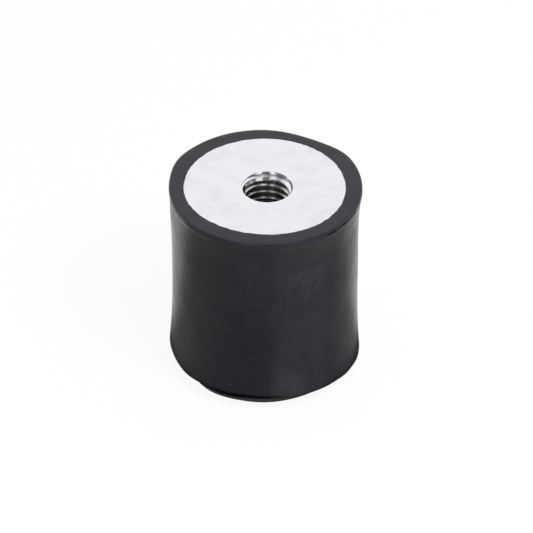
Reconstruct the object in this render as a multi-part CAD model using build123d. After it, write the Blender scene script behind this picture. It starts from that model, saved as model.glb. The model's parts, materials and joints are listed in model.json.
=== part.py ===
from build123d import *
import os

# Bobbin vibration mount, tapped at both ends.
#
# A waisted block of rubber is moulded round two like steel inserts and bonded to them. Each insert is
# turned in one piece: a round plate that takes the load, with a threaded bush standing from its inner
# face into the rubber. The upper plate lies flush in the rubber, inside a broad ring of it. The lower
# plate stands out below the rubber's lower rim as a foot, with only a thin skin of rubber on its edge.
# The bushes are open at their inner ends, and the rubber between them closes the threads.
#
# Units are millimetres. The axis of the mount is Z, and the origin is the centre of the lower face.

# --- Driving dimensions ---------------------------------------------------------------------------
# Rubber body
RIM_DIAMETER = 30.0  # the size that such a mount is sold by
OVERALL_HEIGHT = 32.7  # from one insert's face to the other's
RIM_FLARE = 0.6  # how far both rims stand out from the waist
UPPER_FLARE_HEIGHT = 12.0
LOWER_FLARE_HEIGHT = 13.5
UPPER_RIM_ROUND = 0.15  # the mould's sharp upper edge
LOWER_RIM_ROUND = 0.4
FOOT_SKIN = 0.2  # rubber on the lower plate's edge
FOOT_ROOT_ROUND = 0.4  # where the foot leaves the underside of the rim

# Steel inserts
EDGE_COVER = 2.5  # rubber outside the upper plate's edge
PLATE_THICKNESS = 2.5
PLATE_INNER_ROUND = 0.5  # the plate's edge inside the rubber
BUSH_WALL = 2.5  # steel outside the thread
BUSH_LENGTH = 5.5  # beyond the plate
BUSH_ROOT_ROUND = 0.8
BUSH_END_ROUND = 0.6
THREAD_DIAMETER = 8.0  # M8
THREAD_PITCH = 1.25
COUNTERSINK_LEAD = 0.1  # how much wider than the thread its mouth is, on the radius

# --- What follows from them -----------------------------------------------------------------------
rim_radius = RIM_DIAMETER / 2
waist_radius = rim_radius - RIM_FLARE
plate_radius = rim_radius - EDGE_COVER
foot_radius = plate_radius + FOOT_SKIN
foot_height = PLATE_THICKNESS  # the lower rim's underside is level with the plate's inner face
bush_radius = THREAD_DIAMETER / 2 + BUSH_WALL
insert_length = PLATE_THICKNESS + BUSH_LENGTH
tap_drill_radius = (THREAD_DIAMETER - THREAD_PITCH) / 2
mouth_radius = THREAD_DIAMETER / 2 + COUNTERSINK_LEAD
countersink_depth = mouth_radius - tap_drill_radius  # its sides stand at 45 degrees


def round_corner(half_section, corner, radius):
    """Round the corner of a half section that lies at (distance from the axis, height)."""
    fillet(half_section.vertices().sort_by_distance(corner)[0], radius)


def insert_blank():
    """An insert before it is drilled: plate and bush, with the plate's outer face at z = 0."""
    plate_inner_edge = (plate_radius, PLATE_THICKNESS)
    bush_root = (bush_radius, PLATE_THICKNESS)
    bush_end = (bush_radius, insert_length)
    with BuildPart() as blank:
        with BuildSketch(Plane.XZ) as half_section:
            with BuildLine():
                Polyline((0, 0), (plate_radius, 0), plate_inner_edge, bush_root, bush_end, (0, insert_length))
                Line((0, insert_length), (0, 0))
            make_face()
            round_corner(half_section, plate_inner_edge, PLATE_INNER_ROUND)
            round_corner(half_section, bush_root, BUSH_ROOT_ROUND)
            round_corner(half_section, bush_end, BUSH_END_ROUND)
        revolve(axis=Axis.Z)
    return blank.part


def insert():
    """A finished insert: the blank, drilled through for the thread and countersunk at its mouth."""
    drill = Cylinder(tap_drill_radius, insert_length, align=(Align.CENTER, Align.CENTER, Align.MIN))
    countersink = Cone(
        mouth_radius, tap_drill_radius, countersink_depth, align=(Align.CENTER, Align.CENTER, Align.MIN)
    )
    return insert_blank() - drill - countersink


def at_upper_end(shape):
    """A shape of the lower end's, turned over and raised to the upper end."""
    return Pos(0, 0, OVERALL_HEIGHT) * Rot(180, 0, 0) * shape


def moulded_block():
    """The rubber's outer form: foot, lower rim, waist and upper rim, as yet without the inserts' room."""
    waist_low = (waist_radius, foot_height + LOWER_FLARE_HEIGHT)
    waist_high = (waist_radius, OVERALL_HEIGHT - UPPER_FLARE_HEIGHT)
    lower_rim = (rim_radius, foot_height)
    upper_rim = (rim_radius, OVERALL_HEIGHT)
    foot_root = (foot_radius, foot_height)
    with BuildPart() as block:
        with BuildSketch(Plane.XZ) as half_section:
            with BuildLine():
                Polyline((0, OVERALL_HEIGHT), (0, 0), (foot_radius, 0), foot_root, lower_rim)
                TangentArc(waist_low, lower_rim, tangent=(0, -1))
                Line(waist_low, waist_high)
                TangentArc(waist_high, upper_rim, tangent=(0, 1))
                Line(upper_rim, (0, OVERALL_HEIGHT))
            make_face()
            round_corner(half_section, foot_root, FOOT_ROOT_ROUND)
            round_corner(half_section, lower_rim, LOWER_RIM_ROUND)
            round_corner(half_section, upper_rim, UPPER_RIM_ROUND)
        revolve(axis=Axis.Z)
    return block.part


def rubber_body():
    """The rubber as moulded: it fills all the room between its outer form and the two inserts."""
    return moulded_block() - insert_blank() - at_upper_end(insert_blank())


parts = {
    "rubber_body": rubber_body(),
    "lower_insert": insert(),
    "upper_insert": at_upper_end(insert()),
}

os.makedirs("parts", exist_ok=True)
for name, part in parts.items():
    export_step(part, f"parts/{name}.step")
    print(f"{name}: {len(part.solids())} solid, {part.volume / 1000:.2f} cm3")
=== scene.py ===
# %% [markdown]
# # A bobbin vibration mount
#
# The mount is a block of black rubber, slightly waisted, with a zinc-plated steel insert bonded into each
# end. Each insert is a round plate with a threaded bush on its inner side. A machine is screwed to the
# upper one, the floor to the lower one, and the rubber between them takes up the shaking.
#
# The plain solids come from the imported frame. This script dresses them: it models the rubber as it comes
# out of the mould, cuts real threads into the inserts, and gives both their finish. Nothing moves, and
# every new piece rides on the one body, "root".

import json
import math

import bmesh
import bpy
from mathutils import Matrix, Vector, noise


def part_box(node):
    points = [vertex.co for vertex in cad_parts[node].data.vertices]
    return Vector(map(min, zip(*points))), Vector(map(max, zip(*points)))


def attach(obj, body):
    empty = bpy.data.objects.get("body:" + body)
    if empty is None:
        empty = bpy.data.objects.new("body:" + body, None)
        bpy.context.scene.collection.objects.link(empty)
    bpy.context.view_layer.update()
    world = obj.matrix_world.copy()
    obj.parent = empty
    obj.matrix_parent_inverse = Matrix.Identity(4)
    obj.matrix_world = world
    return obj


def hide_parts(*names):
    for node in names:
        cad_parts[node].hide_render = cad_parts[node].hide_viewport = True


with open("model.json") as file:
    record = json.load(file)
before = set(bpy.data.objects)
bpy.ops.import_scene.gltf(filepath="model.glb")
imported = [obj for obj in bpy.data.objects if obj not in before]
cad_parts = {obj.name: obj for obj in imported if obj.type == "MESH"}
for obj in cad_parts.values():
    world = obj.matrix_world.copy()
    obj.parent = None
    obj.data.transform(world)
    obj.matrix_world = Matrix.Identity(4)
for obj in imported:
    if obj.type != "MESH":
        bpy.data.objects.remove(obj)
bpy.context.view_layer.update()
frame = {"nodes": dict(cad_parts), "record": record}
print("nodes:", sorted(frame["nodes"]))

# %% [markdown]
# ## Sizes
#
# The frame gives the outer sizes: the boxes of the nodes, and the drilled hole's radius from the mount's
# record. What a box can't tell, such as the waist's radius, is a named value here, and it is the same as
# the solid's. All lengths are in metres, and MM turns millimetres into metres.

# %% Sizes from the frame and of the mould
MM = 0.001

rubber_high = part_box("rubber_body")[1]
insert_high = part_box("lower_insert")[1]
mounts = {mount["name"]: mount for mount in frame["record"]["mounts"]}

TOP = rubber_high.z
PLATE_RADIUS = insert_high.x
INSERT_LENGTH = insert_high.z
TAP_DRILL_RADIUS = mounts["upper_thread"]["dims"]["r_mm"] * MM

PLATE_THICKNESS = 2.5 * MM
BUSH_RADIUS = 6.5 * MM
THREAD_RADIUS = 4.0 * MM
THREAD_PITCH = 1.25 * MM

RIM_RADIUS = 15.0 * MM
WAIST_RADIUS = 14.4 * MM
UPPER_FLARE_HEIGHT = 12.0 * MM
LOWER_FLARE_HEIGHT = 13.5 * MM
FOOT_HEIGHT = PLATE_THICKNESS
FOOT_RADIUS = PLATE_RADIUS + 0.2 * MM

print(f"height {TOP / MM:.1f} mm, plate {2 * PLATE_RADIUS / MM:.1f} mm across")
print(f"insert {INSERT_LENGTH / MM:.1f} mm long, drilled {2 * TAP_DRILL_RADIUS / MM:.2f} mm")

# %% [markdown]
# ## Turned and moulded shapes
#
# Rubber and inserts are both round about the upright axis. Such a shape can be spun from its outline, or
# drawn out ring by ring from a disc, as a potter raises a wall. The second way is used here: the disc's
# face is extruded to the next height and scaled to the next radius, again and again. It always gives a
# closed body, because the disc stays behind as the first cap and the moved face ends as the last one.
#
# No real edge is quite sharp, and a rounded one catches the light. So an outline is a list of corners,
# each with its radius, its height and the size of its rounding, and a second helper rounds them.

# %% A helper that rounds an outline's corners
def rounded(corners, steps=4):
    """The corners, each (radius, height) or (radius, height, rounding), as an outline's points."""
    points = []
    for index, (radius, height, *rounding) in enumerate(corners):
        corner = Vector((radius, height))
        if not rounding:
            points.append(corner)
            continue
        back = Vector(corners[index - 1][:2]) - corner
        ahead = Vector(corners[index + 1][:2]) - corner
        start = corner + back.normalized() * rounding[0]
        end = corner + ahead.normalized() * rounding[0]
        for step in range(steps + 1):
            along = step / steps
            points.append(start.lerp(corner, along).lerp(corner.lerp(end, along), along))
    return points


# %% A helper that draws a disc out along an outline
AROUND = 256


def draw_out(name, outline):
    """A closed round body whose outline runs from one cap to the other through these points."""
    bpy.ops.object.select_all(action="DESELECT")
    radius, height = outline[0]
    bpy.ops.mesh.primitive_circle_add(
        vertices=AROUND, radius=radius, fill_type="NGON", location=(0, 0, height)
    )
    body = bpy.context.active_object
    body.name = name
    bpy.ops.object.transform_apply(location=True)
    bpy.ops.object.mode_set(mode="EDIT")
    for next_radius, next_height in outline[1:]:
        bpy.ops.mesh.extrude_region_move(
            TRANSFORM_OT_translate={"value": (0, 0, next_height - height)}
        )
        grow = next_radius / radius
        bpy.ops.transform.resize(value=(grow, grow, 1), center_override=(0, 0, 0))
        radius, height = next_radius, next_height
    bpy.ops.mesh.select_all(action="SELECT")
    bpy.ops.mesh.normals_make_consistent(inside=False)
    bpy.ops.object.mode_set(mode="OBJECT")
    print(f"{name}: {len(body.data.polygons)} faces")
    return body


# %% [markdown]
# ## The insert's outline
#
# The plate and its bush are turned from one bar. The plate's outer edge is only just broken, because the
# rubber ends against it. The edges inside the rubber are well rounded, so that they don't cut it. The
# rubber's pockets are made from the same corners, so rubber and steel meet face to face.

# %% The insert's corners, for the lower end
FACE_EDGE_BREAK = 0.12 * MM
PLATE_ROUND = 0.5 * MM
BUSH_ROOT_ROUND = 0.8 * MM
BUSH_END_ROUND = 0.6 * MM


def insert_corners(edge_break):
    """From the middle of the outer face to the bush's end. edge_break is cut off the plate's outer edge."""
    return [
        (PLATE_RADIUS - edge_break, 0),
        (PLATE_RADIUS, 0.6 * edge_break),
        (PLATE_RADIUS, PLATE_THICKNESS, PLATE_ROUND),
        (BUSH_RADIUS, PLATE_THICKNESS, BUSH_ROOT_ROUND),
        (BUSH_RADIUS, INSERT_LENGTH, BUSH_END_ROUND),
        (BUSH_RADIUS / 2, INSERT_LENGTH),
    ]


def pocket_points():
    """The lower pocket in the rubber, from the plate's edge up and in to the bush's end."""
    return rounded(insert_corners(0)[1:])


print("outline:", len(rounded(insert_corners(FACE_EDGE_BREAK))), "points")

# %% [markdown]
# ## The rubber's side
#
# Between the two plates the rubber is straight in the middle and flares towards both rims, so that the
# bond is widest where the load enters. Each flare is an arc that leaves the waist without a kink. One
# function gives the side's radius at any height, and every ring takes its radius from it.

# %% The side's outline
def flare(rise, height, width):
    """How far out an upright arc has come after a rise, if it comes out by width over height."""
    arc_radius = (height**2 + width**2) / (2 * width)
    return arc_radius - math.sqrt(arc_radius**2 - rise**2)


def side_radius(height):
    """The radius of the rubber's side at a height between its two rims."""
    above = height - (TOP - UPPER_FLARE_HEIGHT)
    below = FOOT_HEIGHT + LOWER_FLARE_HEIGHT - height
    if above > 0:
        return WAIST_RADIUS + flare(above, UPPER_FLARE_HEIGHT, RIM_RADIUS - WAIST_RADIUS)
    if below > 0:
        return WAIST_RADIUS + flare(below, LOWER_FLARE_HEIGHT, RIM_RADIUS - WAIST_RADIUS)
    return WAIST_RADIUS


print(f"waist {2 * side_radius(TOP / 2) / MM:.2f} mm across")

# %% [markdown]
# ## The rubber block
#
# The outline starts inside the lower pocket, runs round the whole block and ends inside the upper pocket,
# so the block is one closed body with room for both inserts. Just under the upper rim, where the mould's
# parts met, a few extra rings are laid close together: a crack can be pressed in there later. Where
# rubber meets a plate's edge, a thin skin of it has crept a little way onto the steel.

# %% The outline round the foot and over the top
SEAM_HEIGHT = TOP - 0.6 * MM
SEAM_HALF_WIDTH = 0.16 * MM
SEAM_RINGS = (-1.5, -1, 1, 1.5)  # in half widths, off the seam's middle
SKIN_REACH = 0.15 * MM
SKIN_THICKNESS = 0.015 * MM
RIM_ROUND = 0.35 * MM
UPPER_EDGE_ROUND = 0.3 * MM
FOOT_EDGE_ROUND = 0.1 * MM
FOOT_ROOT_ROUND = 0.15 * MM


def foot_points(low):
    """From the lower plate's edge round the foot and the lower rim, and up to a low ring of the side."""
    return rounded(
        [
            (PLATE_RADIUS, 0),
            (FOOT_RADIUS, 0, FOOT_EDGE_ROUND),
            (FOOT_RADIUS, FOOT_HEIGHT, FOOT_ROOT_ROUND),
            (RIM_RADIUS, FOOT_HEIGHT, RIM_ROUND),
            (side_radius(low), low),
        ]
    )[1:]


def top_points():
    """From the seam round the upper rim, and in to the skin on the upper plate."""
    return rounded(
        [(RIM_RADIUS, SEAM_HEIGHT + step * SEAM_HALF_WIDTH) for step in SEAM_RINGS]
        + [
            (RIM_RADIUS, TOP, UPPER_EDGE_ROUND),
            (RIM_RADIUS - 1 * MM, TOP),
            (PLATE_RADIUS + 0.3 * MM, TOP),
            (PLATE_RADIUS - SKIN_REACH / 2, TOP + SKIN_THICKNESS),
            (PLATE_RADIUS - SKIN_REACH, TOP),
        ]
    )


# %% The whole outline, and the block drawn out along it
SIDE_RINGS = 60


def rubber_outline():
    """From the lower pocket's end to the upper pocket's end."""
    low = FOOT_HEIGHT + 2 * RIM_ROUND
    high = SEAM_HEIGHT - 3 * SEAM_HALF_WIDTH
    pocket = pocket_points()
    outline = pocket[::-1] + foot_points(low)
    for ring in range(1, SIDE_RINGS + 1):
        height = low + (high - low) * ring / SIDE_RINGS
        outline.append(Vector((side_radius(height), height)))
    return outline + top_points() + [Vector((point.x, TOP - point.y)) for point in pocket]


rubber = draw_out("rubber_moulding", rubber_outline())
bpy.ops.object.shade_smooth_by_angle(angle=math.radians(35))

# %% [markdown]
# ## What the mould and the trimming left
#
# Moulded rubber is never as true as turned steel, and this block was trimmed by hand. Its lower rim hangs
# more than a millimetre too low at the right. Its upper rim is fuller in front and flat at the back right,
# and just under it the mould's seam has opened in three short cracks at the front right. The skin on the
# foot is worn thin at the right and thick at the left. The upper plate's edge isn't quite round either, and
# the rubber lies close to it.
#
# Proportional editing could do all this, but a short rule for each fault is easier to read and to change.
# Each rule says how a point moves, by its angle round the axis and its height. Angles are in degrees, 0 at
# the right and -90 in front. Where the rim goes up and down in no simple way, a table gives its drop at
# some angles, and a smooth line runs through them.

# %% Helpers: how strong a fault is at a distance or an angle
def bump(distance, width):
    """1 in the middle, falling smoothly to 0 at the width."""
    share = min(abs(distance) / width, 1)
    return 1 - share * share * (3 - 2 * share)


def from_table(table, angle):
    """A value at any angle, on a smooth line through a table of (angle, value) from -180 to 180."""
    pairs = zip(table, table[1:])
    (start, first), (end, second) = next(pair for pair in pairs if angle <= pair[1][0])
    return second + (first - second) * bump(angle - start, end - start)


def angle_between(a, b):
    """The smaller angle between two directions round the axis, in degrees."""
    return abs((a - b + 180) % 360 - 180)


def bulge(table, angle):
    """How far a table's bulges push outwards: each is (direction, half width in degrees, mm)."""
    return sum(size * bump(angle_between(angle, middle), width) for middle, width, size in table) * MM


# %% Helpers: an unevenness that closes round the axis, and a pass over all points
def uneven(layers, angle):
    """Smooth noise round the axis. Each layer is (how many lumps, seed, size)."""
    turn = math.radians(angle)
    moved = 0
    for lumps, seed, size in layers:
        reach = lumps / math.tau
        moved += size * noise.noise(Vector((reach * math.cos(turn), reach * math.sin(turn), seed)))
    return moved


def reshape(body, rule):
    """Move each point of a body, by a rule from radius, angle and height to a new radius and height."""
    widest = 0
    for vertex in body.data.vertices:
        x, y, z = vertex.co
        angle = math.degrees(math.atan2(y, x))
        radius, height = rule(math.hypot(x, y), angle, z)
        turn = math.radians(angle)
        vertex.co = (radius * math.cos(turn), radius * math.sin(turn), height)
        widest = max(widest, radius)
    body.data.update()
    print(f"{body.name} reaches {widest / MM:.2f} mm from the axis")


# %% [markdown]
# ### The lower rim and the foot
#
# The rim was trimmed by eye, so its edge wanders up and down, and the side just above it follows. The skin
# on the foot is only what rubber crept past the plate, so it is thinner in one place than in another.

# %% Rules for the lower rim and the foot
RIM_DROPS = (
    (-180, -0.4),
    (-168, -0.42),
    (-145, 0.12),
    (-120, -0.25),
    (-100, -0.42),
    (-84, -0.35),
    (-73, 0.17),
    (-62, 0.3),
    (-44, 0.43),
    (-28, 0.8),
    (-8, 1.25),
    (25, 0.6),
    (180, -0.4),
)
FOOT_BULGES = ((-62, 34, -0.16), (-129, 26, 0.32))
FOOT_BELOW = 0.6 * FOOT_HEIGHT
SIDE_THAT_FOLLOWS = 8 * MM
HAIR = 0.01 * MM


def lower_rim(radius, angle, height):
    """The rim's drop, and the skin on the foot. The lower pocket stays as it is."""
    if radius < PLATE_RADIUS + HAIR:
        return radius, height
    if height > FOOT_BELOW:
        drop = from_table(RIM_DROPS, angle) * MM
        return radius, height - drop * bump(height - FOOT_HEIGHT, SIDE_THAT_FOLLOWS)
    return radius + bulge(FOOT_BULGES, angle), height


drops = [drop for angle, drop in RIM_DROPS]
print(f"lower rim: from {-min(drops)} mm too high to {max(drops)} mm too low")

# %% [markdown]
# ### The upper rim
#
# The upper mould half sat a little to the right, and the rim bulges or lies flat where the rubber shrank
# unevenly. In the seam under it, two rings of points are pressed in where it has opened. The next rings are
# so close that cracks with steep sides come of it.

# %% Rules for the upper rim and its cracks
TOP_OFFSET = 0.1 * MM
RIM_BULGES = (
    (152, 20, 0.24),
    (188, 28, -0.16),
    (62, 34, -0.55),
    (-80, 85, 0.4),
    (130, 42, 0.2),
    (33, 22, 0.18),
)
RIM_RIPPLE = ((14, 3.1, 0.05 * MM),)
RIM_FADE = 6 * MM
CRACKS = (-48, -39, -28)
CRACK_HALF_WIDTH = 5.5
CRACK_DEPTH = 0.6 * MM


def upper_rim(radius, angle, height):
    """The rim's offset, its bulges and its flat."""
    moved = TOP_OFFSET * math.cos(math.radians(angle)) + bulge(RIM_BULGES, angle)
    moved += uneven(RIM_RIPPLE, angle)
    return radius + moved * bump(height - TOP, RIM_FADE)


def open_seam(radius, angle, height):
    """The seam's own rings are pressed in at the cracks."""
    if radius > WAIST_RADIUS and abs(height - SEAM_HEIGHT) < 1.2 * SEAM_HALF_WIDTH:
        opened = max(bump(angle_between(angle, middle), CRACK_HALF_WIDTH) for middle in CRACKS)
        radius -= CRACK_DEPTH * min(2 * opened, 1)
    return radius


# %% [markdown]
# ### The plate's edge and the waist
#
# The upper plate's edge isn't quite round, and the rubber's pocket follows it. The thin skin that crept
# over the plate ends raggedly, which two layers of smooth noise give, one coarse and one fine. The side
# swells a little at the right.

# %% Rules for the plate's edge and the waist
PLATE_OVERSIZE = 0.03 * MM
PLATE_BULGES = ((-48, 68, 0.52), (200, 30, 0.16))
SKIN_RAGS = ((50, 7.7, 0.25 * SKIN_REACH), (110, 1.3, 0.6 * SKIN_REACH))
SKIN_ABOVE = TOP - 0.001 * MM
SIDE_BULGES = ((5, 45, 0.2),)
SIDE_BULGE_HEIGHT = 18 * MM
SIDE_BULGE_FADE = 15 * MM
SIDE_BEYOND = WAIST_RADIUS - 0.5 * MM


def plate_edge(angle):
    """How far the upper plate's edge lies outside its true radius."""
    return PLATE_OVERSIZE + bulge(PLATE_BULGES, angle)


def pocket_edge(radius, angle, height):
    """The upper pocket's edge follows the plate's, and the skin on the plate ends raggedly."""
    radius += plate_edge(angle)
    if height > SKIN_ABOVE:
        radius += uneven(SKIN_RAGS, angle)
    return radius


def waist(radius, angle, height):
    """The side's slight swelling at the right."""
    if radius < SIDE_BEYOND:
        return radius
    return radius + bulge(SIDE_BULGES, angle) * bump(height - SIDE_BULGE_HEIGHT, SIDE_BULGE_FADE)


# %% Put all the rules to work
RIM_BEYOND = RIM_RADIUS - 1.2 * MM
POCKET_BEYOND = PLATE_RADIUS - 2 * SKIN_REACH
POCKET_ABOVE = TOP - 2 * MM


def moulded(radius, angle, height):
    """Where a point of the true block lies on the real one."""
    radius = waist(radius, angle, height)
    radius = open_seam(radius, angle, height)
    if radius > RIM_BEYOND:
        radius = upper_rim(radius, angle, height)
    elif height > POCKET_ABOVE and radius > POCKET_BEYOND:
        radius = pocket_edge(radius, angle, height)
    return lower_rim(radius, angle, height)


reshape(rubber, moulded)

# %% [markdown]
# ## The inserts and their threads
#
# The blank is drawn out like the rubber. A thread can be faked with rings, but rings don't climb. Here it
# is cut as in the shop, with a tap: a screw-shaped body is made with the Screw modifier from one tooth's
# outline and subtracted from the blank with a Boolean. A second cutter countersinks the mouth.
#
# The tooth of a metric thread has flanks at 60 degrees to each other. It is cut off flat at the drilled
# hole, which leaves the crests, and nearly sharp at the root.

# %% One tooth of the tap
FLANK_RISE = (THREAD_RADIUS - TAP_DRILL_RADIUS) * math.tan(math.radians(30))
ROOT_FLAT = THREAD_PITCH / 8
CREST_FLAT = THREAD_PITCH - ROOT_FLAT - 2 * FLANK_RISE
CREST_ROUND = 0.1 * MM
ROOT_ROUND = 0.04 * MM


def tooth_outline():
    """One turn's outline, from the middle of a crest to the middle of the next."""
    first_flank = CREST_FLAT / 2
    root = first_flank + FLANK_RISE
    second_flank = root + ROOT_FLAT + FLANK_RISE
    return rounded(
        [
            (TAP_DRILL_RADIUS, 0),
            (TAP_DRILL_RADIUS, first_flank, CREST_ROUND),
            (THREAD_RADIUS, root, ROOT_ROUND),
            (THREAD_RADIUS, root + ROOT_FLAT, ROOT_ROUND),
            (TAP_DRILL_RADIUS, second_flank, CREST_ROUND),
            (TAP_DRILL_RADIUS, THREAD_PITCH),
        ],
        steps=3,
    )


print(f"thread crest {CREST_FLAT / MM:.2f} mm, root {ROOT_FLAT / MM:.2f} mm wide")

# %% [markdown]
# ### From a tooth to a tap
#
# The tooth's outline is a chain of edges, extruded point by point from a single vertex. The Screw modifier
# carries it round the axis, one pitch higher with each turn. The turns touch but aren't joined, so they
# are merged. That leaves a tube with two open ends, and a Boolean wants a closed body: each end's border
# is extruded and drawn together to one point. The tap has spare turns at both ends, so that its closed
# ends lie outside the insert.

# %% Draw a tooth, and close a tap's ends
STEPS_PER_TURN = 120
SPARE_TURNS = 2
MERGE_DISTANCE = 0.001 * MM


def draw_tooth():
    """A mesh that is only the outline of one turn, below the insert."""
    bpy.ops.object.select_all(action="DESELECT")
    bpy.ops.mesh.primitive_plane_add(size=MM)
    tooth = bpy.context.active_object
    bpy.ops.object.mode_set(mode="EDIT")
    bpy.ops.mesh.merge(type="CENTER")
    here, *others = tooth_outline()
    bpy.ops.transform.translate(value=(here.x, 0, here.y - SPARE_TURNS * THREAD_PITCH))
    for point in others:
        step = point - here
        bpy.ops.mesh.extrude_region_move(TRANSFORM_OT_translate={"value": (step.x, 0, step.y)})
        here = point
    bpy.ops.object.mode_set(mode="OBJECT")
    return tooth


def close_end(tap, at_top):
    """Close a tap's open end: its border is extruded and drawn together to one point."""
    bpy.ops.mesh.select_all(action="DESELECT")
    mesh = bmesh.from_edit_mesh(tap.data)
    middle = INSERT_LENGTH / 2
    for edge in mesh.edges:
        if edge.is_boundary and (edge.verts[0].co.z > middle) == at_top:
            edge.select_set(True)
    bmesh.update_edit_mesh(tap.data)
    bpy.ops.mesh.extrude_edges_move()
    bpy.ops.mesh.merge(type="CENTER")


# %% Screw the tooth into a tap
def make_tap(start_angle):
    """A screw-shaped cutter through the whole insert. start_angle turns it, and so shifts the crests."""
    turns = math.ceil(INSERT_LENGTH / THREAD_PITCH) + 2 * SPARE_TURNS
    tap = draw_tooth()
    screw = tap.modifiers.new("turns", "SCREW")
    screw.screw_offset = THREAD_PITCH
    screw.iterations = turns
    screw.steps = STEPS_PER_TURN
    screw.render_steps = STEPS_PER_TURN
    bpy.ops.object.modifier_apply(modifier=screw.name)
    bpy.ops.object.mode_set(mode="EDIT")
    bpy.ops.mesh.select_all(action="SELECT")
    bpy.ops.mesh.remove_doubles(threshold=MERGE_DISTANCE)
    close_end(tap, at_top=False)
    close_end(tap, at_top=True)
    bpy.ops.mesh.select_all(action="SELECT")
    bpy.ops.mesh.normals_make_consistent(inside=False)
    bpy.ops.transform.rotate(value=start_angle, orient_axis="Z", center_override=(0, 0, 0))
    bpy.ops.object.mode_set(mode="OBJECT")
    print(f"tap: {len(tap.data.polygons)} faces, {turns} turns")
    return tap


# %% [markdown]
# ## Where the hole lies, and its mouth
#
# The hole of this mount was drilled a little off the middle, and its countersink goes deeper than a sharp
# one would. The solids keep the hole true and shallow, so that a screw meets it where a drawing says. Both
# cutters are simply moved by the same small shift. The Boolean gives the walls that it cuts the cutter's
# material, so face and thread have their own finishes without any faces being picked.

# %% A helper that cuts one body with another
def cut(body, cutter):
    """Take a cutter's volume out of a body, and throw the cutter away."""
    bpy.ops.object.select_all(action="DESELECT")
    bpy.context.view_layer.objects.active = body
    boolean = body.modifiers.new("cut", "BOOLEAN")
    boolean.operation = "DIFFERENCE"
    boolean.solver = "EXACT"
    boolean.material_mode = "TRANSFER"
    boolean.object = cutter
    bpy.ops.object.modifier_apply(modifier=boolean.name)
    bpy.data.objects.remove(cutter)


# %% The countersink's cutter
MOUTH_RADIUS = 4.0 * MM
MOUTH_ROUND = 0.06 * MM
COUNTERSINK_DEPTH = 1.35 * MM
CLEARANCE = 1 * MM


def make_countersink():
    """A round cutter for the mouth, whose edge at the face is softly rounded."""
    outline = rounded(
        [
            (MOUTH_RADIUS + 0.4 * MM, -CLEARANCE),
            (MOUTH_RADIUS + 0.08 * MM, 0),
            (MOUTH_RADIUS - 0.03 * MM, 0.04 * MM, MOUTH_ROUND),
            (TAP_DRILL_RADIUS - 0.05 * MM, COUNTERSINK_DEPTH),
            (TAP_DRILL_RADIUS - CLEARANCE, COUNTERSINK_DEPTH),
        ]
    )
    return draw_out("countersink", outline)


# %% [markdown]
# ### What the cutting leaves to do
#
# The Boolean may leave a sliver of a face with no area, and dissolving such faces mends that. The plate's
# face is one large flat face. Smooth shading would bend its normals towards the rounded edges and make it
# look dished, so flat faces are told to stay flat. Last, how far out each point lies in the thread is
# stored on the mesh, because the finish needs it.

# %% Clean the cut body and shade it
SLIVER = 0.0002 * MM
SMOOTH_UP_TO = math.radians(32)
LEVEL = 0.9999


def clean_and_shade(body):
    """Dissolve slivers, and shade rounded edges smooth and flat faces flat."""
    bpy.ops.object.select_all(action="DESELECT")
    body.select_set(True)
    bpy.context.view_layer.objects.active = body
    bpy.ops.object.mode_set(mode="EDIT")
    bpy.ops.mesh.select_all(action="SELECT")
    bpy.ops.mesh.dissolve_degenerate(threshold=SLIVER)
    bpy.ops.object.mode_set(mode="OBJECT")
    bpy.ops.object.shade_smooth_by_angle(angle=SMOOTH_UP_TO)
    for polygon in body.data.polygons:
        if abs(polygon.normal.z) > LEVEL:
            polygon.use_smooth = False


# %% Make an insert
BORE_SHIFT = Vector((0.43 * MM, 0.28 * MM, 0))
TAP_START = math.radians(57)


def measure_bore(body):
    """Store on each point how far out it lies in the thread, from 0 at the crests to 1 at the roots."""
    towards_root = body.data.attributes.new("towards_root", "FLOAT", "POINT")
    for vertex in body.data.vertices:
        distance = (vertex.co - BORE_SHIFT).to_2d().length
        share = (distance - TAP_DRILL_RADIUS) / (THREAD_RADIUS - TAP_DRILL_RADIUS)
        towards_root.data[vertex.index].value = min(max(share, 0), 1)


def make_insert(name, face_finish, thread_finish):
    """An insert at the lower end, threaded, with a finish for its outside and one for its hole."""
    body = draw_out(name, rounded(insert_corners(FACE_EDGE_BREAK)))
    body.data.materials.append(face_finish)
    for cutter in (make_tap(TAP_START), make_countersink()):
        cutter.data.materials.append(thread_finish)
        cutter.location = BORE_SHIFT
        cut(body, cutter)
    clean_and_shade(body)
    measure_bore(body)
    print(f"{name}: {len(body.data.polygons)} faces")
    return body


# %% [markdown]
# ## Nodes in a few words
#
# A material's nodes are written here with a few small helpers. One adds a node with its settings and its
# inputs, and each input takes a plain value or another node's output. Where a node has several inputs of
# the same name, they are counted from 0. The other helpers are for what comes again and again: a sum, a
# smooth change, a colour between two others, and a relief that bends the light.

# %% Helpers: feed a socket, add a node, begin a material
def feed(tree, socket, value):
    """Link an output to the socket, or set the socket's own value."""
    if isinstance(value, bpy.types.NodeSocket):
        tree.links.new(value, socket)
    else:
        socket.default_value = value


def add_node(tree, kind, inputs=None, **settings):
    """A shader node with its settings, and its inputs fed by name or number."""
    node = tree.nodes.new("ShaderNode" + kind)
    for name, value in settings.items():
        setattr(node, name, value)
    for name, value in (inputs or {}).items():
        feed(tree, node.inputs[name], value)
    return node


def new_material(name):
    """An empty material: its tree, its Principled shader and the object coordinates."""
    material = bpy.data.materials.new(name)
    material.use_nodes = True
    tree = material.node_tree
    place = add_node(tree, "TexCoord").outputs["Object"]
    return material, tree, tree.nodes["Principled BSDF"], place


# %% Helpers: sums and vectors
def calc(tree, operation, *values):
    """The output of a Math node."""
    return add_node(tree, "Math", dict(enumerate(values)), operation=operation).outputs[0]


def total(tree, first, *others):
    """Several values added up."""
    for other in others:
        first = calc(tree, "ADD", first, other)
    return first


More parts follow.
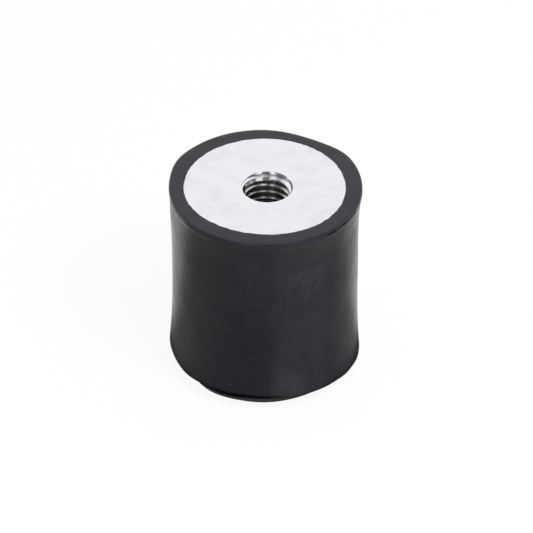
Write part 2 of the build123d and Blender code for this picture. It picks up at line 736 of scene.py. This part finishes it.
def parts_of(tree, vector):
    """A vector's X, Y and Z."""
    return add_node(tree, "SeparateXYZ", {"Vector": vector}).outputs


def length_of(tree, vector):
    """How long a vector is."""
    return add_node(tree, "VectorMath", {0: vector}, operation="LENGTH").outputs["Value"]


# %% Helpers: smooth changes, colours and relief
def ramp(tree, value, start, end, low=0.0, high=1.0):
    """A smooth change from low to high, as a value goes from start to end."""
    inputs = {"Value": value, "From Min": start, "From Max": end, "To Min": low, "To Max": high}
    return add_node(tree, "MapRange", inputs, interpolation_type="SMOOTHSTEP").outputs["Result"]


def tint(tree, factor, first, second):
    """A colour between two others. A Mix node's colours are its inputs 6 and 7 and its output 2."""
    inputs = {"Factor": factor, 6: first, 7: second}
    return add_node(tree, "Mix", inputs, data_type="RGBA").outputs[2]


def add_relief(tree, shader, height):
    """Let a height, in metres, bend the shader's normals."""
    relief = add_node(tree, "Bump", {"Height": height, "Distance": 1.0})
    feed(tree, shader.inputs["Normal"], relief.outputs["Normal"])


# %% [markdown]
# ## Three marks that both materials have
#
# Moulded rubber copies the mould, and the mould was turned like the inserts. So both materials show the
# same three things at different strengths: a fine grain, the rings that a turning tool leaves, and dull
# patches where fingers and dust have been. Each is a node group with named inputs, built once here and
# placed in both materials with its own values.

# %% A helper that begins a node group
def new_group(name, inputs, output):
    """An empty node group with number inputs, a vector input called Place and one number output."""
    tree = bpy.data.node_groups.new(name, "ShaderNodeTree")
    tree.interface.new_socket("Place", in_out="INPUT", socket_type="NodeSocketVector")
    for socket_name in inputs:
        tree.interface.new_socket(socket_name, in_out="INPUT", socket_type="NodeSocketFloat")
    tree.interface.new_socket(output, in_out="OUTPUT", socket_type="NodeSocketFloat")
    given = tree.nodes.new("NodeGroupInput").outputs
    result = tree.nodes.new("NodeGroupOutput").inputs[output]
    return tree, given, result


# %% The grain
def grain_group():
    """Fine grain, as a height: Size is the size of one grain in metres."""
    tree, given, height = new_group("grain", ["Size", "Depth"], "Height")
    inputs = {"Vector": given["Place"], "Scale": calc(tree, "DIVIDE", 1.0, given["Size"]), "Detail": 3.0}
    grains = add_node(tree, "TexNoise", inputs).outputs["Fac"]
    around_zero = calc(tree, "SUBTRACT", grains, 0.5)
    feed(tree, height, calc(tree, "MULTIPLY", around_zero, given["Depth"]))
    return tree


GRAIN = grain_group()
print("node group:", GRAIN.name)

# %% The tool rings
WORN_PATCH = 2.5 * MM
DEPTH_LEFT_WHERE_WORN = 0.3


def tool_rings_group():
    """Rings round the axis, as a height. Along is the radius or the height that they follow."""
    tree, given, height = new_group("tool_rings", ["Along", "Pitch", "Depth"], "Height")
    inputs = {"W": calc(tree, "DIVIDE", given["Along"], given["Pitch"]), "Scale": 1.0, "Detail": 2.0}
    rings = add_node(tree, "TexNoise", inputs, noise_dimensions="1D").outputs["Fac"]
    inputs = {"Vector": given["Place"], "Scale": 1 / WORN_PATCH, "Detail": 1.0}
    patches = add_node(tree, "TexNoise", inputs).outputs["Fac"]
    worn = ramp(tree, patches, 0.35, 0.65, DEPTH_LEFT_WHERE_WORN, 1.0)
    depth = calc(tree, "MULTIPLY", worn, given["Depth"])
    feed(tree, height, calc(tree, "MULTIPLY", calc(tree, "SUBTRACT", rings, 0.5), depth))
    return tree


TOOL_RINGS = tool_rings_group()
print("node group:", TOOL_RINGS.name)

# %% The smudges
NOISE_HIGH = 0.72
NOISE_SPAN = 0.44
SOFT_EDGE = 0.12


def smudges_group():
    """Soft uneven patches, as a mask from 0 to 1. Share is how much of the surface they cover."""
    tree, given, mask = new_group("smudges", ["Size", "Share"], "Mask")
    inputs = {"Vector": given["Place"], "Scale": calc(tree, "DIVIDE", 1.0, given["Size"])}
    inputs |= {"Detail": 4.0, "Roughness": 0.6, "Distortion": 0.4}
    patches = add_node(tree, "TexNoise", inputs).outputs["Fac"]
    middle = calc(tree, "SUBTRACT", NOISE_HIGH, calc(tree, "MULTIPLY", given["Share"], NOISE_SPAN))
    start = calc(tree, "SUBTRACT", middle, SOFT_EDGE)
    end = calc(tree, "ADD", middle, SOFT_EDGE)
    feed(tree, mask, ramp(tree, patches, start, end))
    return tree


SMUDGES = smudges_group()
print("node group:", SMUDGES.name)

# %% A helper that places a group in a material
def place_group(tree, group, place, **inputs):
    """A group's output in a material, with its own values."""
    node = tree.nodes.new("ShaderNodeGroup")
    node.node_tree = group
    feed(tree, node.inputs["Place"], place)
    for name, value in inputs.items():
        feed(tree, node.inputs[name], value)
    return node.outputs[0]


# %% [markdown]
# ## Bright zinc
#
# Zinc plating on a turned face is pale, a little blue, and silky rather than mirror-bright. What makes it
# look real is how little happens: a fine grain, rings that one sees only in a glancing light, and a few
# duller patches.

# %% The zinc on the plates and bushes
ZINC = (0.892, 0.9, 0.929, 1)
DULL_ZINC = (0.859, 0.868, 0.898, 1)
ZINC_ROUGHNESS = (0.46, 0.52)  # where it is bright, and where it is dull


def zinc_on_face():
    """The plating on all of the insert but its hole."""
    material, tree, shader, place = new_material("zinc_on_face")
    radius = length_of(tree, place)
    dull = place_group(tree, SMUDGES, place, Size=2.6 * MM, Share=0.4)
    rings = place_group(tree, TOOL_RINGS, place, Along=radius, Pitch=0.16 * MM, Depth=0.0006 * MM)
    grain = place_group(tree, GRAIN, place, Size=0.14 * MM, Depth=0.002 * MM)
    feed(tree, shader.inputs["Base Color"], tint(tree, dull, ZINC, DULL_ZINC))
    feed(tree, shader.inputs["Roughness"], ramp(tree, dull, 0, 1, *ZINC_ROUGHNESS))
    feed(tree, shader.inputs["Metallic"], 1.0)
    add_relief(tree, shader, total(tree, rings, grain))
    return material


zinc_face = zinc_on_face()
print(f"{zinc_face.name}: {len(zinc_face.node_tree.nodes)} nodes")

# %% [markdown]
# ### Zinc in the thread
#
# The thread is another matter, and its shade is painted into its colour. The colour goes from bright to a
# painted shade with the depth in the hole and with the distance from the crests, which is stored on the
# mesh, and soft darker patches are painted dark reflections. The painted shade in the roots stops at the
# countersink, which stays bright.

# %% The zinc in the thread
# painted shade: the dark colour that the thread takes deep in the hole and in its roots
THREAD_PAINTED_SHADE = (0.19, 0.187, 0.195, 1)
THREAD_ROUGHNESS = (0.06, 0.18)
DEEP = (0.5 * MM, 5.5 * MM)  # where it begins to darken, and where it is darkest
DARK_DEEP_DOWN = 0.7
DARK_IN_ROOTS = 0.8
PAINTED_REFLECTION_DARKNESS = 0.1


def depth_in_hole(tree, place):
    """How far a point lies inside the nearer of the mount's two ends."""
    height = parts_of(tree, place)["Z"]
    return calc(tree, "MINIMUM", height, calc(tree, "SUBTRACT", TOP, height))


def zinc_in_thread():
    """The hole's zinc, with painted shade deep in the hole and in the roots, and patches of painted dark
    reflection.
    """
    material, tree, shader, place = new_material("zinc_in_thread")
    depth = depth_in_hole(tree, place)
    root = add_node(tree, "Attribute", attribute_name="towards_root").outputs["Fac"]
    patches = place_group(tree, SMUDGES, place, Size=0.7 * MM, Share=0.5)
    # painted shade: darker with the depth in the hole and towards the roots; the darker patches are painted
    # dark reflections
    deep = ramp(tree, depth, *DEEP, 0.0, DARK_DEEP_DOWN)
    in_thread = ramp(tree, depth, 0.75 * COUNTERSINK_DEPTH, 1.05 * COUNTERSINK_DEPTH)
    rooted = calc(tree, "MULTIPLY", ramp(tree, root, 0.0, 0.5, 0.0, DARK_IN_ROOTS), in_thread)
    painted_dark_reflections = calc(tree, "MULTIPLY", patches, PAINTED_REFLECTION_DARKNESS)
    dark = calc(tree, "MINIMUM", total(tree, calc(tree, "MAXIMUM", deep, rooted), painted_dark_reflections), 1.0)
    chatter = place_group(tree, TOOL_RINGS, place, Along=root, Pitch=0.14, Depth=0.02 * MM)
    lumps = place_group(tree, GRAIN, place, Size=0.6 * MM, Depth=0.025 * MM)
    feed(tree, shader.inputs["Base Color"], tint(tree, dark, ZINC, THREAD_PAINTED_SHADE))
    feed(tree, shader.inputs["Roughness"], ramp(tree, patches, 0, 1, *THREAD_ROUGHNESS))
    feed(tree, shader.inputs["Metallic"], 1.0)
    add_relief(tree, shader, total(tree, chatter, lumps))
    return material


zinc_thread = zinc_in_thread()
print(f"{zinc_thread.name}: {len(zinc_thread.node_tree.nodes)} nodes")

# %% [markdown]
# ## Black rubber
#
# Black rubber has nearly no colour of its own. What one sees is the room, mirrored weakly where one looks
# straight at it and strongly at a glancing angle, so the edges of a round body are pale. The shader does
# that by itself. The nodes add what a moulding has: the rings of the turned mould on the side, a fine
# grain, a grey bloom where wax has come out of the rubber, and dull torn edges where it was trimmed. They
# also paint light into the colour: painted highlights on the side and under the front rim, and a lighter
# grey on the foot's lowest edge.

# %% A helper for marks that are on one side only
def towards(tree, place, angle, narrow, wide):
    """1 on the part of the side that faces an angle, falling to 0 from one angle off it to another."""
    flat = add_node(tree, "VectorMath", {0: place, 1: (1, 1, 0)}, operation="MULTIPLY").outputs["Vector"]
    outward = add_node(tree, "VectorMath", {0: flat}, operation="NORMALIZE").outputs["Vector"]
    turn = math.radians(angle)
    inputs = {0: outward, 1: (math.cos(turn), math.sin(turn), 0)}
    agree = add_node(tree, "VectorMath", inputs, operation="DOT_PRODUCT").outputs["Value"]
    return ramp(tree, agree, math.cos(math.radians(wide)), math.cos(math.radians(narrow)))


# %% [markdown]
# ### Where the rubber has been rubbed
#
# A painted highlight runs down the side just right of the middle: a band of the grey, lighter as if the
# light fell brighter there, with fine slanting scratches in its upper half and a paler streak above the
# lower rim. In front, a painted highlight lies under the upper rim. Each mark is a product of masks: which
# way the side faces, and at what height. A direction has three angles: the middle, and how far off it the
# mark is still whole, and gone.

# %% Scratches
SCRATCHED_SIDE = (-64, 3, 15)
SCRATCH_HEIGHT = 23.5 * MM
SCRATCH_FADE = (4.5 * MM, 1.5 * MM)
FAINT_SCRATCHES = 0.03
CLEAR_SCRATCHES = 0.4
SCRATCH_SLANT = math.radians(-50)
SCRATCH_AXIS = (0.44, -0.9, 0)  # straight out of the scratched side
SCRATCH_STRETCH = (0.35, 0.35, 1.3)


def scratched_mask(tree, place, height):
    """Fine scratches across the band of painted highlight: smudges, slanted and drawn out long."""
    inputs = {"Vector": place, "Axis": SCRATCH_AXIS, "Angle": SCRATCH_SLANT}
    slanted = add_node(tree, "VectorRotate", inputs).outputs["Vector"]
    drawn_out = add_node(tree, "VectorMath", {0: slanted, 1: SCRATCH_STRETCH}, operation="MULTIPLY")
    lines = place_group(tree, SMUDGES, drawn_out.outputs["Vector"], Size=1 * MM, Share=0.5)
    off_middle = calc(tree, "ABSOLUTE", calc(tree, "SUBTRACT", height, SCRATCH_HEIGHT))
    strength = ramp(tree, off_middle, *SCRATCH_FADE, FAINT_SCRATCHES, CLEAR_SCRATCHES)
    scratched = calc(tree, "MULTIPLY", lines, strength)
    return calc(tree, "MULTIPLY", scratched, towards(tree, place, *SCRATCHED_SIDE))


# %% The painted highlights, the scratches and the streak
# painted highlight: the band down the side just right of the middle
HIGHLIT_SIDE = (-67, 9, 22)
SIDE_HIGHLIGHT = 0.26
STREAKED_SIDE = (-75, 3, 13)
STREAK_FADE = (10 * MM, 5 * MM)
STREAK_PALENESS = 0.3
# painted highlight: under the upper rim in front
FRONT_HIGHLIGHT_SIDE = (-94, 15, 45)
FRONT_HIGHLIGHT_FADE = (TOP - 9 * MM, TOP - 2 * MM)
FRONT_HIGHLIGHT = 0.11


def highlights_streak_and_scratches(tree, place, height):
    """How much the painted highlights, the scratches and the paler streak lighten the rubber together."""
    band = calc(tree, "MULTIPLY", towards(tree, place, *HIGHLIT_SIDE), SIDE_HIGHLIGHT)
    low = ramp(tree, height, *STREAK_FADE, 0, STREAK_PALENESS)
    streak = calc(tree, "MULTIPLY", towards(tree, place, *STREAKED_SIDE), low)
    near_rim = ramp(tree, height, *FRONT_HIGHLIGHT_FADE, 0, FRONT_HIGHLIGHT)
    front_highlight = calc(tree, "MULTIPLY", near_rim, towards(tree, place, *FRONT_HIGHLIGHT_SIDE))
    return total(tree, band, scratched_mask(tree, place, height), streak, front_highlight)


# %% [markdown]
# ### Edges and relief
#
# The upper edge is dull where the seam was torn off. The foot's lowest edge is painted a lighter grey, a
# painted light that leaves the foot darker just under the rim, as if in its shade; it reaches less high at
# the left, where the skin is thick. The relief is a sum of three: the mould's rings, only on the side, a
# fine grain all over, and a slow swell, which makes the mirrored room waver a little.

# %% The torn edge, and painted light on the foot's lowest edge
TORN_BELOW = (TOP - 0.01 * MM, TOP - 0.05 * MM)
TORN_ABOVE = (TOP - 0.5 * MM, TOP - 0.35 * MM)
TORN_BLOOM = 0.25
# painted light: how high the lighter grey reaches on the foot
FOOT_LIGHT_BELOW = (0.85 * MM, 0.6 * MM)
LEFT_SIDE = (-130, 8, 32)
LOWER_AT_LEFT = 0.26 * MM


def torn_mask(tree, height):
    """How much bloom the torn seam shows, in a narrow band under the upper edge."""
    above = ramp(tree, height, *TORN_ABOVE, 0, TORN_BLOOM)
    return calc(tree, "MULTIPLY", above, ramp(tree, height, *TORN_BELOW))


def painted_foot_light_mask(tree, place, height):
    """1 on the foot's lowest edge, where light is painted on."""
    lower = calc(tree, "MULTIPLY", towards(tree, place, *LEFT_SIDE), LOWER_AT_LEFT)
    return ramp(tree, calc(tree, "ADD", height, lower), *FOOT_LIGHT_BELOW)


# %% The rubber's relief
def rubber_relief(tree, place, height, on_side):
    """The mould's rings, a fine grain and a slow swell, as a height."""
    rings = place_group(tree, TOOL_RINGS, place, Along=height, Pitch=0.3 * MM, Depth=0.008 * MM)
    grain = place_group(tree, GRAIN, place, Size=0.3 * MM, Depth=0.006 * MM)
    swell = place_group(tree, GRAIN, place, Size=6 * MM, Depth=0.2 * MM)
    return total(tree, calc(tree, "MULTIPLY", rings, on_side), grain, swell)


# %% The rubber's finish
RUBBER = (0.0045, 0.004, 0.0105, 1)
# the grey of the wax bloom, which also colours the painted highlights
BLOOM_AND_HIGHLIGHT = (0.045, 0.044, 0.05, 1)
# painted light: the lighter grey of the foot's lowest edge
PAINTED_FOOT_LIGHT = (0.12, 0.118, 0.125, 1)
CLOUD_BLOOM = 0.12
SPECK_BLOOM = 0.13
SIDE_BELOW = (TOP - 0.3 * MM, TOP - 0.6 * MM)
RUBBER_ROUGHNESS = (0.2, 0.28)
RUBBER_IOR = 1.45


def black_rubber():
    """The moulded rubber's finish."""
    material, tree, shader, place = new_material("black_rubber")
    height = parts_of(tree, place)["Z"]
    on_side = ramp(tree, height, *SIDE_BELOW)
    cloudy = place_group(tree, SMUDGES, place, Size=6 * MM, Share=0.45)
    specks = place_group(tree, SMUDGES, place, Size=0.9 * MM, Share=0.3)
    # bloom, specks and the torn edge are the rubber's own; the first mask adds the painted highlights
    bloom_and_highlights = total(
        tree,
        calc(tree, "MULTIPLY", highlights_streak_and_scratches(tree, place, height), on_side),
        calc(tree, "MULTIPLY", cloudy, CLOUD_BLOOM),
        calc(tree, "MULTIPLY", specks, SPECK_BLOOM),
        torn_mask(tree, height),
    )
    colour = tint(tree, bloom_and_highlights, RUBBER, BLOOM_AND_HIGHLIGHT)
    # painted light: the foot's lowest edge is lighter grey, so the part under the rim looks shaded
    colour = tint(tree, painted_foot_light_mask(tree, place, height), colour, PAINTED_FOOT_LIGHT)
    feed(tree, shader.inputs["Base Color"], colour)
    feed(tree, shader.inputs["Roughness"], ramp(tree, cloudy, 0, 1, *RUBBER_ROUGHNESS))
    feed(tree, shader.inputs["IOR"], RUBBER_IOR)
    add_relief(tree, shader, rubber_relief(tree, place, height, on_side))
    return material


rubber.data.materials.append(black_rubber())
print(f"black_rubber: {len(rubber.active_material.node_tree.nodes)} nodes")

# %% [markdown]
# ## Both inserts
#
# The two inserts came off the same lathe, so one is made and the other is its copy, turned over and
# lifted to the upper end. Turning over keeps a right-handed thread right-handed, where mirroring wouldn't.

# %% Make one insert, and turn a copy over
lower = make_insert("lower_insert_threaded", zinc_face, zinc_thread)
bpy.ops.object.duplicate()
upper = bpy.context.active_object
upper.name = "upper_insert_threaded"
bpy.ops.object.mode_set(mode="EDIT")
bpy.ops.mesh.select_all(action="SELECT")
bpy.ops.transform.rotate(value=math.pi, orient_axis="X", center_override=(0, 0, 0))
bpy.ops.transform.translate(value=(0, 0, TOP))
bpy.ops.object.mode_set(mode="OBJECT")

# %% Let the upper plate fill its pocket
def spread_edge(radius, angle, height):
    """The upper plate's edge goes out as far as the rubber's pocket does."""
    if radius > POCKET_BEYOND:
        radius += plate_edge(angle)
    return radius, height


reshape(upper, spread_edge)

# %% [markdown]
# ## The camera
#
# It stands well back and looks down at the mount from the front, as one would to show a small part. The
# long lens keeps the upright lines nearly parallel. Its turn is given by one angle, and its place follows
# from that angle and the distance, so both can be changed without it losing the mount.

# %% The camera
CENTRE = Vector((0, 0, TOP / 2))
CAMERA_DISTANCE = 700 * MM
CAMERA_ANGLE = math.radians(37.2)
CAMERA_RAISED = 0.563 * MM
CAMERA_ASIDE = Vector((0.313 * MM, 0, 0))
LENS = 302.7
SENSOR_WIDTH = 36

camera_data = bpy.data.cameras.new("camera")
camera_data.lens = LENS
camera_data.sensor_width = SENSOR_WIDTH
camera_data.clip_start = 10 * MM
camera = bpy.data.objects.new("camera", camera_data)
bpy.context.scene.collection.objects.link(camera)
bpy.context.scene.camera = camera
backwards = Vector((0, -math.cos(CAMERA_ANGLE), math.sin(CAMERA_ANGLE)))
upwards = Vector((0, math.sin(CAMERA_ANGLE), math.cos(CAMERA_ANGLE)))
camera.location = CENTRE + backwards * CAMERA_DISTANCE + upwards * CAMERA_RAISED + CAMERA_ASIDE
camera.rotation_euler = (math.pi / 2 - CAMERA_ANGLE, 0, 0)
print(f"the camera is {camera.location.z / MM:.0f} mm above the floor")

# %% [markdown]
# ## A white room
#
# The floor and the room look white to the camera and in mirrors, but they don't pour that white onto the
# mount: the Light Path node says what kind of ray has come, and only camera, glossy and transmission rays
# see the bright version.

# %% Helpers: kinds of ray, and a shader between two others
WHITE = (1, 1, 1, 1)


def kind_of_ray(tree):
    """Two masks: the camera's rays, and those that come from a mirror or through glass."""
    path = add_node(tree, "LightPath").outputs
    mirrored = calc(tree, "MAXIMUM", path["Is Glossy Ray"], path["Is Transmission Ray"])
    return path["Is Camera Ray"], mirrored


def mix_shaders(tree, factor, first, second):
    """A shader between two others."""
    return add_node(tree, "MixShader", {0: factor, 1: first, 2: second}).outputs[0]


# %% [markdown]
# ### The floor
#
# In mirrors the floor is brightest behind the mount, which gives the rubber its bright edges, and dark
# close round the foot, where the rim shades it. From below it is clear, so that the underside shows.

# %% How brightly the floor glows in mirrors
BEHIND = (2 * MM, 14 * MM)
GLOW_BEHIND = 0.65
FAR_RIGHT = (24 * MM, 40 * MM)
GLOW_LEFT_THERE = 0.35
IN_FRONT = (-34 * MM, -52 * MM)
GLOW_IN_FRONT = 0.2


def floor_in_mirrors(tree, place, away):
    """The share of glow in mirrors, by the place on the floor and its distance from the middle."""
    across = parts_of(tree, place)
    behind = ramp(tree, across["Y"], *BEHIND, 0.0, GLOW_BEHIND)
    at_right = ramp(tree, across["X"], *FAR_RIGHT, 1.0, GLOW_LEFT_THERE)
    in_front = ramp(tree, across["Y"], *IN_FRONT, 0.0, GLOW_IN_FRONT)
    underneath = ramp(tree, away, FOOT_RADIUS, PLATE_RADIUS)
    around = calc(tree, "MAXIMUM", calc(tree, "MULTIPLY", behind, at_right), in_front)
    return calc(tree, "MAXIMUM", around, underneath)


# %% The floor's finish
FLOOR_COLOUR = (0.45, 0.45, 0.45, 1)
SHADED_FLOOR = (0.05, 0.05, 0.05, 1)
SHADED_WITHIN = (20 * MM, 16 * MM)
FLOOR_ROUGHNESS = 0.9
GLOW_SEEN = 0.8
GLOW_STRENGTH = 1.14


def pale_floor():
    """A pale matt floor that glows only for the camera and in mirrors."""
    material, tree, shader, place = new_material("pale_floor")
    away = length_of(tree, place)
    seen, mirrored = kind_of_ray(tree)
    shaded = calc(tree, "MULTIPLY", mirrored, ramp(tree, away, *SHADED_WITHIN))
    feed(tree, shader.inputs["Base Color"], tint(tree, shaded, FLOOR_COLOUR, SHADED_FLOOR))
    feed(tree, shader.inputs["Roughness"], FLOOR_ROUGHNESS)
    in_mirrors = calc(tree, "MULTIPLY", mirrored, floor_in_mirrors(tree, place, away))
    share = calc(tree, "MAXIMUM", in_mirrors, calc(tree, "MULTIPLY", seen, GLOW_SEEN))
    glow = add_node(tree, "Emission", {"Color": WHITE, "Strength": GLOW_STRENGTH}).outputs[0]
    above = mix_shaders(tree, share, shader.outputs[0], glow)
    from_below = add_node(tree, "NewGeometry").outputs["Backfacing"]
    clear = add_node(tree, "BsdfTransparent").outputs[0]
    surface = mix_shaders(tree, from_below, above, clear)
    feed(tree, tree.nodes["Material Output"].inputs["Surface"], surface)
    return material


# %% Lay the floor
FLOOR_SIZE = 2
FLOOR_GAP = 0.02 * MM

bpy.ops.object.select_all(action="DESELECT")
bpy.ops.mesh.primitive_plane_add(size=FLOOR_SIZE, location=(0, 0, -FLOOR_GAP))
floor = bpy.context.active_object
floor.name = "floor"
floor.data.materials.append(pale_floor())
print(f"the floor is {FLOOR_SIZE} m wide")

# %% [markdown]
# ### The room
#
# Metal needs something to mirror, or it looks like grey paint. So the front half of the room is a dark
# wall with two tall windows that lean together overhead. Only mirrors see it, and the two bright spots on
# the far side of the countersink are these windows.

# %% The dark wall and its windows
WINDOWS = ((0.64, 0.2), (-0.45, 0.2))  # the middle of each, and half its width
WINDOW_EDGE = 0.07
WIDTH_OVERHEAD = 0.4
WALL_IN_FRONT = (0.3, -0.2)
WALL_ABOVE = (0.0, 0.1)


def window(tree, sideways, middle, half_width):
    """1 inside a tall window, falling to 0 at its sides."""
    off = calc(tree, "ABSOLUTE", calc(tree, "SUBTRACT", sideways, middle))
    return ramp(tree, off, half_width + WINDOW_EDGE, half_width - WINDOW_EDGE)


def wall_mask(tree):
    """1 on the dark wall and 0 elsewhere, by the direction that one looks in."""
    direction = parts_of(tree, add_node(tree, "TexCoord").outputs["Generated"])
    in_front = ramp(tree, direction["Y"], *WALL_IN_FRONT)
    above_floor = ramp(tree, direction["Z"], *WALL_ABOVE)
    narrowing = ramp(tree, direction["Z"], 0.0, 1.0, 1.0, WIDTH_OVERHEAD)
    sideways = calc(tree, "DIVIDE", direction["X"], narrowing)
    panes = calc(tree, "MAXIMUM", *(window(tree, sideways, *size) for size in WINDOWS))
    wall = calc(tree, "MULTIPLY", in_front, above_floor)
    return calc(tree, "MULTIPLY", wall, calc(tree, "SUBTRACT", 1.0, panes))


# %% Light the room
ROOM_LIGHT = 0.55
WALL_BRIGHTNESS = 0.16

room = bpy.data.worlds.new("white_room")
bpy.context.scene.world = room
room.use_nodes = True
tree = room.node_tree
seen, mirrored = kind_of_ray(tree)
in_mirrors = ramp(tree, wall_mask(tree), 0.0, 1.0, 1.0, WALL_BRIGHTNESS)
bright = calc(tree, "MAXIMUM", seen, calc(tree, "MULTIPLY", mirrored, in_mirrors))
plain_light = calc(tree, "MULTIPLY", ROOM_LIGHT, calc(tree, "SUBTRACT", 1.0, mirrored))
background = tree.nodes["Background"].inputs
feed(tree, background["Color"], WHITE)
feed(tree, background["Strength"], calc(tree, "MAXIMUM", bright, plain_light))
print(f"the room's light is {ROOM_LIGHT}, and mirrors see {len(WINDOWS)} windows")

# %% [markdown]
# ## The lamp
#
# One round softbox at the upper right gives the floor its faint shadow and the rubber a little shape. It
# is left out of mirrors, because its disc would show as a spot on the glossy rubber. The Standard view
# shows colours as the nodes give them, with nothing graded.

# %% The lamp
LAMP_PLACE = Vector((0.2, -0.22, 0.42))
LAMP_SIZE = 0.2
LAMP_POWER = 1.5

lamp_data = bpy.data.lights.new("softbox", "AREA")
lamp_data.shape = "DISK"
lamp_data.size = LAMP_SIZE
lamp_data.energy = LAMP_POWER
lamp = bpy.data.objects.new("softbox", lamp_data)
lamp.location = LAMP_PLACE
lamp.rotation_euler = LAMP_PLACE.to_track_quat("Z", "Y").to_euler()
lamp.visible_glossy = False
bpy.context.scene.collection.objects.link(lamp)
print(f"the lamp is {LAMP_PLACE.length:.2f} m away")

# %% Show colours as they are
bpy.context.scene.view_settings.view_transform = "Standard"

# %% [markdown]
# ## What each piece stands for
#
# Each new piece rides on the mount's one body and replaces its plain solid, which stays behind for the
# physics.

# %% Tell the frame
for piece, node, slot in (
    (rubber, "rubber_body", "rubber"),
    (lower, "lower_insert", "zinc_plated_steel"),
    (upper, "upper_insert", "zinc_plated_steel"),
):
    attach(piece, "root")
    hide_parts(node)
    print(f"{piece.name} stands for {node}")
